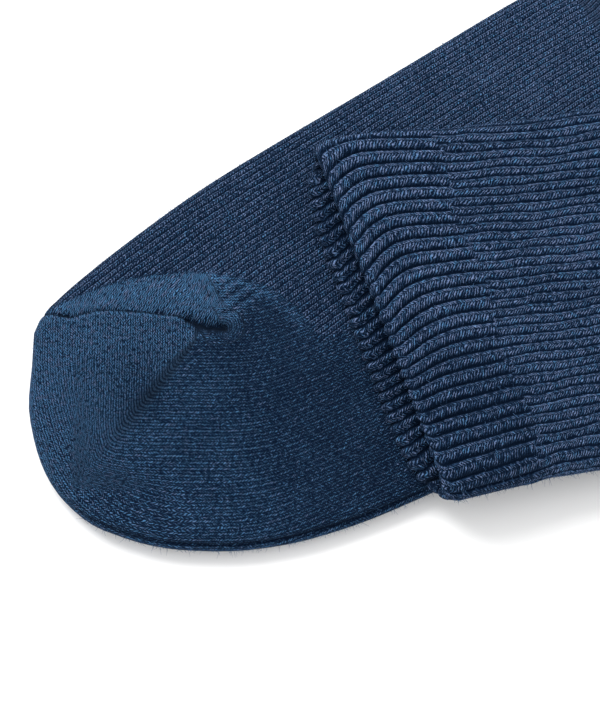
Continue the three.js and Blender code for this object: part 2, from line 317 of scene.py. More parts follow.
# Section of the flattened tube. A place round it is 0 to 1 over the upper side and 1 to 2 below.
def section(along, around, inset):
    front = outline_value("front", along) - inset
    back = outline_value("back", along) + inset
    full_height = outline_value("height", along)
    nose = np.sqrt(1 - (1 - np.clip(along / (full_height / 2), 0, 1)) ** 2)
    half_height = np.maximum(full_height / 2 * nose - inset, 0.05)
    half_round = np.minimum(half_height, np.maximum((front - back) / 2, 0.01))
    middle = full_height / 2
    round_length = math.pi * (half_round + half_height) / 2
    level_length = np.maximum(front - back - 2 * half_round, 0)
    path = 2 * round_length + level_length
    distance = np.clip(around, 0, 1) * path
    near_front = distance < path / 2
    from_edge = np.minimum(distance, path - distance) / round_length
    angle = math.pi * (np.minimum(from_edge, 1) - 0.5)
    sign = np.where(near_front, 1, -1)
    edge = np.where(near_front, front, back)
    level = np.maximum(from_edge - 1, 0) * round_length
    side = edge - sign * (half_round * (1 - np.cos(angle)) + level)
    across = (2 * side - front - back) / np.maximum(front - back, 0.01)
    upward = np.clip(np.sin(angle), 0, 1)
    crown = outline_value("crown", along) * upward * (1 - across**2)
    height = middle + half_height * np.sin(angle) + crown
    out_side, out_up = sign * np.cos(angle), np.sin(angle)
    under = around > 1
    under_side = lerp(back + half_round, front - half_round, around - 1)
    side = np.where(under, under_side, side)
    height = np.where(under, middle - half_height, height)
    out_side = np.where(under, 0, out_side)
    out_up = np.where(under, -1, out_up)
    layer = np.clip((height - crown - middle) / (2 * half_height) + 0.5, 0, 1)
    return {
        "side": side,
        "height": height,
        "out_side": out_side,
        "out_up": out_up,
        "distance": distance,
        "path": path,
        "girth": path + level_length,
        "crown": crown,
        "layer": np.where(under, 0, layer),
        "half_width": (front - back) / 2,
        "across": np.clip((2 * side - front - back) / np.maximum(front - back, 0.01), -1, 1),
    }


# Distances in the sock's own plane
def distance_to_line(line, along, side):
    nearest = np.full(along.shape, np.inf)
    for (a0, s0), (a1, s1) in zip(line[:-1], line[1:]):
        da, ds = a1 - a0, s1 - s0
        share = np.clip(((along - a0) * da + (side - s0) * ds) / (da * da + ds * ds), 0, 1)
        nearest = np.minimum(nearest, np.hypot(along - a0 - share * da, side - s0 - share * ds))
    return nearest


def bump(distance, reach):
    return np.exp(-((distance / reach) ** 2))


def toe_cap_reach(along, side):
    """1 on the oval where the ribs end, less inside it."""
    a = np.maximum(along - TOE_CAP["along"], 0) / TOE_CAP["half_length"]
    s = (side - TOE_CAP["side"]) / TOE_CAP["half_width"]
    return np.where((along < TOE_CAP["along"]) | (a == 0), s, np.hypot(a, np.maximum(s, 0)))


def seam_side(along):
    """Where the closing seam and the pucker after it cross this length."""
    line = SEAM[:-1] + PUCKER
    return np.interp(along, [p[0] for p in line], [p[1] for p in line])


# Knit of the plain toe and sole. Its wales follow the level axes, x and y, of the lower sock as it lies.
# They run along x on the sole, turn at the gore, and run up along y to the seam.
def level_axes(along, side):
    c, s = math.cos(LOWER["heading"]), math.sin(LOWER["heading"])
    return along * c - side * s, along * s + side * c


def toe_limits():
    """The toe's least x, which is on its front edge, and its least y, on its back edge."""
    share = np.linspace(0, 1, 400) ** 2
    x, _ = level_axes(13.5 * share, outline_value("front", 13.5 * share))
    _, y = level_axes(200 * share, outline_value("back", 200 * share))
    return float(x.min()), float(y.min())


TOE_LEFT, TOE_BOTTOM = toe_limits()


def plain_knit(along, side, drop):
    """The wale and the course at a place, and 1 on the wedge between gore and seam."""
    x, y = level_axes(along, side)
    past_turn = (x - SOLE_TURN["x"]) / SOLE_TURN["reach"]
    top = GORE_CORNER["y"] + SOLE_TURN["slope"] * SOLE_TURN["reach"] * np.logaddexp(0, past_turn)
    down = (top - y) / (GORE_CORNER["y"] - TOE_BOTTOM)
    leftward = (GORE_CORNER["x"] - x) / (GORE_CORNER["x"] - TOE_LEFT) * TOE_WALES / SOLE_WALES

    # The corner at the gore is sharp near its top and round by the toe's edge
    outward = np.maximum(down, leftward)
    power = lerp(24, 2.3, smoothstep(outward, 0.3, 0.75))
    rounded = (np.maximum(down, 1e-4) ** power + np.maximum(leftward, 1e-4) ** power) ** (1 / power)
    outer = np.where(leftward > 0, np.where(down > 0, rounded, leftward), down)
    wale = SOLE_WALES * outer + ROLL_WALES * drop
    turning = np.maximum(down, 1e-2) / np.maximum(leftward, 1e-3)
    beside = 1 / (1 + turning**power)
    course = (np.sqrt(beside) * y + np.sqrt(1 - beside) * (GORE_CORNER["join"] - x)) / COURSE

    # Band above the seam, and rings round the pucker's end
    above = side - seam_side(along)
    in_band = (above > 0) & (along < BAND_END)
    wale = np.where(in_band, (x - 0.45 * above) / BAND_WALE, wale)
    course = np.where(in_band, y, course)
    pucker = distance_to_line(PUCKER, along, side)
    end = PUCKER[-1]
    knob = (pucker < KNOB["reach"]) & ((along > end[0]) | (above < 0)) & (along > KNOB["from"])
    turn = np.arctan2(side - end[1], along - end[0])
    wale = np.where(knob, pucker / KNOB["wale"] + 0.35, wale)
    course = np.where(knob, KNOB["round"] * turn / COURSE, course)
    return wale, course, (leftward > 0) / (1 + turning**4)


# Relief and knit of the whole surface
def rib_profile(phase, broad):
    """1 on a rib's crest and 0 in the groove, which is narrower the broader the crest."""
    across = np.abs(2 * (phase % 1) - 1)
    return 1 - across**broad


def cuff_twist(side, to_edge):
    """How far a cuff rib has slid towards the back by this place."""
    sides, shares, fades = zip(*TWIST_ROWS)
    near_edge = np.clip(1 - to_edge / np.interp(side, sides, fades), 0, 1.2) ** TWIST["power"]
    return TWIST["shift"] * near_edge * np.interp(side, sides, shares)


def wander(along, side, across):
    """Slow sideways drift of the ribs, none at the folds."""
    drift = 0.5 * np.sin(along * 0.11 + side * 0.05) + 0.25 * np.sin(along * 0.37 + side * 0.21)
    return drift * np.clip(1 - across**8, 0, 1)


def cuff_phase(place, along, around):
    to_edge = CUFF_EDGE - along
    slide = cuff_twist(place["side"], to_edge) - 0.35 * wander(along, place["side"], place["across"])
    pitch = place["path"] / CUFF_RIBS
    over = (place["distance"] - slide) / pitch
    fanned = LIP_FAN["shift"] * np.clip(1 - to_edge / LIP_FAN["fade"], 0, 1) ** 1.5
    fanned = fanned * smoothstep(-place["side"], *LIP_FAN["between"])
    under = CUFF_RIBS + (around - 1) * CUFF_UNDER_RIBS + (slide + fanned) / pitch
    return np.where(around > 1, under, over)


def luck(phase, offset=0):
    """A steady random value from -1 to 1 for each rib."""
    return RIB_LUCK[(np.floor(phase).astype(int) + offset) % len(RIB_LUCK)]


def dress(along, around):
    """The outer face: how far it stands out from the plain section, and what its knit looks like."""
    place = section(along, around, 0)
    side, distance, across = place["side"], place["distance"], place["across"]
    to_edge = CUFF_EDGE - along
    upper = around <= 1
    fade = np.clip(np.minimum(around, 1 - around) / 0.03, 0, 1)
    ribs = cuff_phase(place, along, around)
    edge_waver = 0.8 * np.sin(side * 0.21 + 0.6) + 0.5 * luck(ribs)
    cuff = (1 - smoothstep(to_edge - edge_waver, CUFF_DEPTH - 2.2, CUFF_DEPTH + 2.2)) * upper
    drift = wander(along, side, across)
    leg_phase = (distance + 0.4 * drift) / place["path"] * LEG_RIBS
    leg_phase = leg_phase + 0.07 * luck(leg_phase) * np.sin(along * 0.9 + 9 * luck(leg_phase, 5))
    leg_phase = leg_phase + 0.12 * np.sin(along * 0.31 + side * 0.17) * np.sin(side * 0.4 + along * 0.05)
    pitch = lerp(INSTEP_PITCH["toe"], INSTEP_PITCH["heel"], smoothstep(along, 40, 150))
    instep_phase = (distance + 0.25 * drift) / pitch
    on_foot = 1 - smoothstep(along, FOOT_LENGTH + 16, ANKLE_END + 6)
    cap = toe_cap_reach(along, side)
    instep = smoothstep(side, -13, -4.5) * smoothstep(cap, 0.985, 1.03)
    heel = (1 - smoothstep(along, ANKLE_END - 4, ANKLE_END + 10)) * (1 - smoothstep(side, -12, -4))
    leg = (1 - on_foot) * (1 - heel) * (1 - cuff) * upper
    foot_ribs = on_foot * instep * upper
    cuff_height = rib_profile(ribs, 3.4)
    leg_height = rib_profile(leg_phase, 3.0)
    line_height = 0.5 * rib_profile(instep_phase, 2.2) + 0.5 * rib_profile(2 * instep_phase, 2)
    cuff_raise = lerp(CUFF_RELIEF["edge"], CUFF_RELIEF["leg"], smoothstep(to_edge, 2, 16))
    cuff_raise = lerp(CUFF_RELIEF["rim"], cuff_raise, smoothstep(to_edge, 0.4, 2.6))
    cuff_raise = cuff_raise * (1 + 0.1 * luck(ribs, 3))
    drape = 0.3 * np.sin(along * 0.045 + 1.3) * np.sin(side * 0.06 + 0.4)
    drape = drape + 0.15 * np.sin(along * 0.083 + side * 0.05)
    relief = fade * (
        cuff_raise * cuff * cuff_height
        + LEG_RELIEF * leg * leg_height * (1 + 0.3 * luck(leg_phase, 7))
        + INSTEP_RELIEF * foot_ribs * line_height
        + drape
    )
    # Painted shade in the grooves of the cuff, leg and instep ribs, which the bump alone leaves unshaded
    leg_waver = 1 + 0.7 * luck(leg_phase, 11) * np.sin(along * 0.7)
    lower_cuff = smoothstep(-side, 0, 22)
    cuff_groove_shade = lerp(0.65 * (1 - rib_profile(ribs, 6)), 0.4 * (1 - rib_profile(ribs, 2.6)), lower_cuff)
    groove = (
        cuff * cuff_groove_shade * smoothstep(to_edge, 0.2, 2.4)
        + 0.5 * leg * (1 - rib_profile(leg_phase, 5)) * leg_waver
        + 0.45 * foot_ribs * (1 - line_height)
    )

    # Toe
    inside_oval = 1 - smoothstep(cap, 0.98, 1.03)
    band_area = smoothstep(along, 15, 22) * (1 - smoothstep(along, 50, 57)) * upper * inside_oval
    band_area = band_area * smoothstep(side - seam_side(along), -1, 1)
    fan_area = smoothstep(along, 49, 52) * (1 - smoothstep(along, 57, 63)) * smoothstep(side, 5, 8)
    rim_reach = smoothstep(along, 0, 4) * (1 - smoothstep(along, 60, 80)) * (side < 0)
    shapes = {
        "band": band_area * bump(cap - 0.91, 0.1),
        "oval_edge": bump(cap - 0.97, 0.03) * smoothstep(along, 45, 53) * smoothstep(side, -7, -1) * upper,
        "fan_ribs": fan_area * inside_oval * (rib_profile(instep_phase, 2) - 0.4) * upper,
        "rim_line": bump(place["layer"] - 0.8, 0.05) * rim_reach,
        "rim_roll": bump(place["layer"] - 0.62, 0.08) * rim_reach,
    }
    seam = distance_to_line(SEAM, along, side)
    distances = {
        "seam": seam,
        "pucker": distance_to_line(PUCKER, along, side),
        "pinch": np.hypot(along - EAR_PINCH[0], side - EAR_PINCH[1]),
        "fan": np.minimum.reduce([distance_to_line(line, along, side) for line in FAN_GROOVES]),
        "notch": distance_to_line(CORNER_NOTCH, along, side),
        "dent": np.hypot(along - WEDGE_DENT[0], side - WEDGE_DENT[1]),
    }
    # The toe's brightness is all painted light. There is painted shade in the pucker, the notch, the dent,
    # the fan's grooves and along the fold's dark line, and a painted highlight on the band, its oval edge,
    # the rim's roll, the pucker's puff and the fan's crests.
    toe_relief = sum(raised * shapes[name] for name, raised, _ in TOE_SHAPES)
    toe_painted_shading = sum(painted_light * shapes[name] for name, _, painted_light in TOE_SHAPES)
    for name, offset, reach, raised, painted_light in TOE_MARKS:
        mark = bump(distances[name] - offset, reach)
        toe_relief = toe_relief + raised * mark
        toe_painted_shading = toe_painted_shading + painted_light * mark
    relief = relief + upper * on_foot * toe_relief
    drop = outline_value("height", along) + place["crown"] - place["height"]
    wale, course, wedge = plain_knit(along, side, drop * upper)
    crisp = np.maximum(band_area, wedge * (1 - smoothstep(along, 40, 50)))
    plain = (1 - foot_ribs) * (1 - leg) * (1 - cuff)
    past_seam = np.where(side > seam_side(along), seam, -seam)

    # Tone: how much brighter or darker the yarn looks. Its random part for each rib is the yarn's own, and
    # the instep grows brighter towards the heel. The rest is painted light: the band brighter as a painted
    # highlight where it faces the light, the sole darker as painted shade where it faces away from the light
    # and lies by the other sock's cuff, painted shade towards the cuff's back edge, and the toe's painted
    # highlights and shade.
    sole_shade = smoothstep(along, 26, 52) * (1 - 0.4 * smoothstep(along, 62, 80))
    tone_and_painted_shading = on_foot * (
        0.06
        + 0.1 * band_area
        - 0.22 * sole_shade * (1 - foot_ribs) * (1 - band_area)
        + 0.02 * foot_ribs
        + 0.16 * foot_ribs * smoothstep(along, 75, 140)
        + toe_painted_shading
    )
    # Cuff: its own tone for each rib, with painted shade towards its back edge
    tone_and_painted_shading = tone_and_painted_shading + cuff * (0.06 + 0.05 * luck(ribs) - 0.25 * smoothstep(-side, -10, 36))
    tone_and_painted_shading = tone_and_painted_shading + (0.04 + 0.06 * luck(leg_phase)) * leg
    fine_ribs = np.where(on_foot > 0.5, 2 * instep_phase, leg_phase)
    return relief, {
        "plain": (wale, course, plain * (1 + crisp)),
        "ribs": (ribs, fine_ribs, cuff),
        "length": (along / COURSE, 1 - on_foot, foot_ribs),
        "look": (groove, tone_and_painted_shading, np.where(on_foot * upper > 0, past_seam, FAR_FROM_SEAM)),
    }


def inside(along, around, inset, turn):
    """The inside is smooth, but for the cuff's ribs, which show in its mouth."""
    place = section(along, around, inset)
    to_edge = CUFF_EDGE - along
    ribs = cuff_phase(place, along, around)
    height = rib_profile(ribs, 2.2)
    near = 1 - smoothstep(to_edge, 20, 28)
    raised = np.where(around > 1, CUFF_RELIEF["lip"], CUFF_RELIEF["inside"])
    zero = np.zeros(along.shape)
    # Painted shade in the mouth: the tone is darker deeper in and on the rim's turn, and the gaps between the
    # ribs are dark, most where the upper layer hides the lip
    deep = smoothstep(to_edge, 5, 12)
    rim_length = RIM_LENGTH * turn / math.pi
    rolled_rim_shade = 0.25 * smoothstep(turn / math.pi, 0.3, 0.7) * np.where(around > 1, 0, 1)
    turned_in = smoothstep(turn / math.pi, 0.25, 0.75)
    gap_shade = np.where(around > 1, 1.1 + 2.2 * smoothstep(to_edge, 1.5, 6.0), 1.7 * turned_in)
    gap_width = lerp(4.5, 2.2, smoothstep(to_edge, 1.0, 5.0))
    looks = {
        "plain": (zero, zero, zero),
        "ribs": (ribs, ribs, zero + 1),
        "length": ((2 * RIM_CENTRE - along + rim_length) / COURSE, zero + 1, zero),
        "look": (
            gap_shade * (1 - rib_profile(ribs, gap_width)) * near,
            zero - 0.1 - 0.35 * deep - rolled_rim_shade,
            zero + FAR_FROM_SEAM,
        ),
    }
    return raised * height * near, looks


def shell_points(sock, along, around, turn, lift=0.0):
    """A ring of points. Its turn is 0 on the outer face, pi on the inner one, and between them on the rim."""
    wall = outline_value("wall", along)
    share = turn / math.pi
    inset = wall / 2 * (1 - math.cos(turn))
    outer_relief, looks = dress(along, around)
    place = section(along, around, inset)
    if turn > 0:
        inner_relief, looks = inside(along, around, inset, turn)
        relief = lerp(outer_relief, inner_relief, float(smoothstep(share, 0, 0.5)))
    else:
        relief = outer_relief + lift
    across_wall = relief * math.cos(turn)
    beyond = (wall / 2 + relief) * math.sin(turn)
    side = place["side"] + across_wall * place["out_side"]
    height = place["height"] + across_wall * place["out_up"]
    to_edge = CUFF_EDGE - along
    height = height - EDGE_DROOP * place["layer"] * (1 - smoothstep(to_edge, 0, 8))
    slant = sock["slant"] * side * (1 - smoothstep(to_edge, 0, SLANT_FADE))
    lip_shape = (1 - place["layer"]) * np.maximum(1 - (side / place["half_width"]) ** 6, 0)
    lip = LIP_REACH * lip_shape * (1 - smoothstep(to_edge, 0, LIP_FADE))
    x, y = floor_place(sock, along + slant + lip + beyond, side)
    return np.stack((x, y, height + resting_height(sock, x, y)), -1), looks


LOOKS = ("plain", "ribs", "length", "look")


# Meshes
def columns(under_columns):
    upper = np.linspace(0, 1, UPPER_COLUMNS + 1)[:-1]
    under = 1 + np.linspace(0, 1, under_columns + 1)[:-1]
    return np.concatenate((upper, under))


def grid_faces(first_rows, count):
    """Quads between rows of points that follow each other, each row a closed ring."""
    ring = np.arange(count)
    after = (ring + 1) % count
    faces = []
    for start, end in zip(first_rows[:-1], first_rows[1:]):
        faces.append(np.stack((start + ring, start + after, end + after, end + ring), 1))
    return np.concatenate(faces)


def make_mesh(name, points, faces, looks, sharp_rows, count):
    mesh = bpy.data.meshes.new(name)
    points = (points - np.array((*PAIR_MIDDLE, 0))) * MM
    mesh.vertices.add(len(points))
    mesh.vertices.foreach_set("co", points.astype(np.float32).ravel())
    quads, triangles = faces
    loops = np.concatenate((quads.ravel(), np.array(triangles, int).ravel()))
    totals = np.concatenate((np.full(len(quads), 4), np.full(len(triangles), 3)))
    starts = np.concatenate(([0], np.cumsum(totals)[:-1]))
    mesh.loops.add(len(loops))
    mesh.loops.foreach_set("vertex_index", loops.astype(np.int32))
    mesh.polygons.add(len(totals))
    mesh.polygons.foreach_set("loop_start", starts.astype(np.int32))
    mesh.update(calc_edges=True)
    mesh.validate()
    mesh.shade_smooth()
    for key, value in looks.items():
        attribute = mesh.attributes.new(key, "FLOAT_VECTOR", "POINT")
        attribute.data.foreach_set("vector", np.stack(value, 1).astype(np.float32).ravel())
    mark_sharp(mesh, sharp_rows, count)
    piece = bpy.data.objects.new(name, mesh)
    bpy.context.scene.collection.objects.link(piece)
    return piece


def mark_sharp(mesh, sharp_rows, count):
    """Edges along the given rings are sharp, so that neighbouring pieces shade as one surface."""
    ring_of = np.full(len(mesh.vertices), -1)
    for start in sharp_rows:
        ring_of[start : start + count] = start
    ends = np.zeros(len(mesh.edges) * 2, np.int32)
    mesh.edges.foreach_get("vertices", ends)
    ends = ends.reshape(-1, 2)
    sharp = (ring_of[ends[:, 0]] >= 0) & (ring_of[ends[:, 0]] == ring_of[ends[:, 1]])
    attribute = mesh.attributes.new("sharp_edge", "BOOLEAN", "EDGE")
    attribute.data.foreach_set("value", sharp)


def rows_between(start, end, step):
    count = max(1, round((end - start) / step))
    return np.linspace(start, end, count + 1)


def sock_piece(sock, name, outer, inner, around, closed_toe=False, open_mouth=False):
    """One stretch of a sock: its outer face, its inner face, and the rims between them."""
    count = len(around)
    rings = [(along, 0.0) for along in outer]
    if open_mouth:
        rings += [(outer[-1], math.pi * share) for share in np.linspace(0, 1, 10)[1:-1]]
    rings += [(along, math.pi) for along in inner]
    made = [shell_points(sock, np.full(count, along), around, turn) for along, turn in rings]
    points = np.concatenate([ring[0] for ring in made])
    looks = {
        key: tuple(np.concatenate([ring[1][key][part] for ring in made]) for part in range(3))
        for key in LOOKS
    }
    starts = [count * index for index in range(len(rings))]
    quads = grid_faces(starts if closed_toe else [*starts, starts[0]], count)
    extra = []
    if closed_toe:
        middle = float(outline_value("front", np.float64(0)))
        for along, start, flip in ((0, starts[0], True), (HOLLOW_END, starts[-1], False)):
            x, y = floor_place(sock, np.float64(along), middle)
            ring = np.arange(count)
            after = (ring + 1) % count
            index = len(points)
            points = np.vstack((points, (x, y, OUTLINE[0][3] / 2)))
            looks = {
                key: tuple(np.append(value[part], value[part][start]) for part in range(3))
                for key, value in looks.items()
            }
            for a, b in zip(start + ring, start + after):
                extra.append((index, b, a) if flip else (index, a, b))
    if sock["front_side"] < 0:
        quads = quads[:, ::-1]
        extra = [face[::-1] for face in extra]
    sharp = [] if closed_toe else [starts[0], starts[-1]]
    if not open_mouth:
        sharp += [starts[len(outer) - 1], starts[len(outer)]]
    return make_mesh(name, points, (quads, extra), looks, sharp, count)


STRETCHES = {
    "foot": (0, FOOT_LENGTH),
    "ankle": (FOOT_LENGTH, ANKLE_END + 8),
    "leg": (ANKLE_END + 8, CUFF_EDGE - 32),
    "cuff": (CUFF_EDGE - 32, CUFF_EDGE),
}


def sock_pieces(sock, steps):
    """The four stretches of one sock, with rows as far apart as the steps say."""
    name = sock["name"]
    toe_rows = np.concatenate(
        (
            4 * FINE_TOE[0] * np.linspace(0.03, 0.5, 12)[:-1] ** 2,
            rows_between(*FINE_TOE, steps["toe"]),
            rows_between(FINE_TOE[1], FOOT_LENGTH, steps["foot"])[1:],
        )
    )
    toe_inner = rows_between(HOLLOW_END + 2, 60, 8)
    foot_inner = np.concatenate((toe_inner, rows_between(60, FOOT_LENGTH, 20)[1:]))
    leg_start, cuff_start = STRETCHES["leg"]
    around = columns(UNDER_COLUMNS)
    foot = sock_piece(sock, f"{name}_foot", toe_rows, foot_inner[::-1], around, closed_toe=True)
    ankle_rows = rows_between(FOOT_LENGTH, leg_start, steps["ankle"])
    ankle_inner = rows_between(FOOT_LENGTH, leg_start, 10)
    ankle = sock_piece(sock, f"{name}_ankle", ankle_rows, ankle_inner[::-1], around)
    leg_rows = rows_between(leg_start, cuff_start, steps["leg"])
    leg_inner = rows_between(leg_start, cuff_start, 20)
    leg = sock_piece(sock, f"{name}_leg", leg_rows, leg_inner[::-1], around)
    cuff_rows = rows_between(cuff_start, RIM_CENTRE, steps["cuff"])
    cuff_inner = rows_between(cuff_start, RIM_CENTRE, 1.2)
    around = columns(CUFF_UNDER_COLUMNS)
    cuff = sock_piece(sock, f"{name}_cuff", cuff_rows, cuff_inner[::-1], around, open_mouth=True)
    return {"foot": foot, "ankle": ankle, "leg": leg, "cuff": cuff}


# Knit material
class Graph:
    """Adds shader nodes by name, so that a formula reads from left to right."""

    def __init__(self, tree):
        self.tree = tree

    def three(self, name):
        """The three numbers that a point attribute holds."""
        attribute = self.node("ShaderNodeAttribute", attribute_name=name)
        parts = self.node("ShaderNodeSeparateXYZ")
        self.put(parts.inputs[0], attribute.outputs["Vector"])
        return parts.outputs

    def node(self, kind, **settings):
        node = self.tree.nodes.new(kind)
        for key, value in settings.items():
            setattr(node, key, value)
        return node

    def put(self, socket, value):
        if isinstance(value, bpy.types.NodeSocket):
            self.tree.links.new(value, socket)
        else:
            socket.default_value = value

    def math(self, operation, *values, clamp=False):
        node = self.node("ShaderNodeMath", operation=operation, use_clamp=clamp)
        for socket, value in zip(node.inputs, values):
            self.put(socket, value)
        return node.outputs[0]

    def fall(self, value, start, end):
        """Smooth step of a value from 0 at start to 1 at end."""
        node = self.node("ShaderNodeMapRange", interpolation_type="SMOOTHSTEP")
        self.put(node.inputs[0], value)
        node.inputs[1].default_value = start
        node.inputs[2].default_value = end
        return node.outputs[0]

    def noise(self, vector, scale, detail=2.0, rough=0.5):
        node = self.node("ShaderNodeTexNoise")
        self.put(node.inputs["Vector"], vector)
        node.inputs["Scale"].default_value = scale
        node.inputs["Detail"].default_value = detail
        node.inputs["Roughness"].default_value = rough
        return node.outputs["Fac"]

    def combine(self, x, y, z=0.0):
        node = self.node("ShaderNodeCombineXYZ")
        for socket, value in zip(node.inputs, (x, y, z)):
            self.put(socket, value)
        return node.outputs[0]

    def mix(self, share, first, second):
        node = self.node("ShaderNodeMix", data_type="FLOAT")
        self.put(node.inputs[0], share)
        self.put(node.inputs[2], first)
        self.put(node.inputs[3], second)
        return node.outputs[0]

    def mix_colour(self, share, first, second):
        node = self.node("ShaderNodeMix", data_type="RGBA")
        self.put(node.inputs[0], share)
        self.put(node.inputs[6], first)
        self.put(node.inputs[7], second)
        return node.outputs[2]


# Yarn colours. The darkest is painted shade between the threads and in the grooves, together with the yarn's
# darkest fibres. The two light ones are the yarn's lighter fibres and also a painted highlight on the thread
# crests.
GAP_SHADE = (0.0018, 0.0060, 0.0175, 1)
NAVY = (0.0110, 0.0290, 0.0680, 1)
VIOLET_LIGHT = (0.140, 0.195, 0.350, 1)
BLUE_LIGHT = (0.072, 0.200, 0.390, 1)
FLECK = (0.16, 0.32, 0.52, 1)


# Repeats of each noise in a metre
NOISE_SCALE = {
    "ragged_rib_ends": 700.0,
    "wale_waver": 800.0,
    "course_waver": 330.0,
    "course_jitter": 1500.0,
    "fine_fibre": 5200.0,
    "patches": 120.0,
    "flecks": 1500.0,
    "loose_fibres": 700.0,
}

# How much each part adds to the yarn's brightness, first in plain knit and then what the crisp knit adds. The
# thread height and the groove are painted shade between the threads and in the grooves, with a painted
# highlight on the crests. The fibres, the fine fibre and the patches are the heathered yarn's own, and the
# seam is its dark stitching.
SHADE = {
    "base": (-0.25, -0.4),
    "height": (1.6, 1.3),
    "fibres": (1.4, 0.9),
    "fine": 1.2,
    "patches": 0.5,
    "groove": -0.6,
    "seam": -1.1,
}
PLAIN_LEG_SLOPE = 2.6
RIB_LEG_SLOPE = 1.9
RIB_APEX = 0.36
BUMP_DEPTH = 0.4


def ridge(graph, share):
    """0 at a repeat's ends and 1 in its middle, rounded like a thread."""
    across = graph.math("ABSOLUTE", graph.math("MULTIPLY_ADD", share, 2.0, -1.0))
    return graph.math("SUBTRACT", 1.0, graph.math("MULTIPLY", across, across))


def hump(graph, value, middle, reach):
    """1 at the middle, falling to 0 at the reach on each side."""
    off = graph.math("DIVIDE", graph.math("SUBTRACT", value, middle), reach)
    return graph.math("SUBTRACT", 1.0, graph.math("MULTIPLY", off, off), clamp=True)


def around_middle(graph, value, strength, base):
    """Adds a 0-to-1 value to the base, scaled about its middle."""
    return graph.math("MULTIPLY_ADD", graph.math("SUBTRACT", value, 0.5), strength, base)


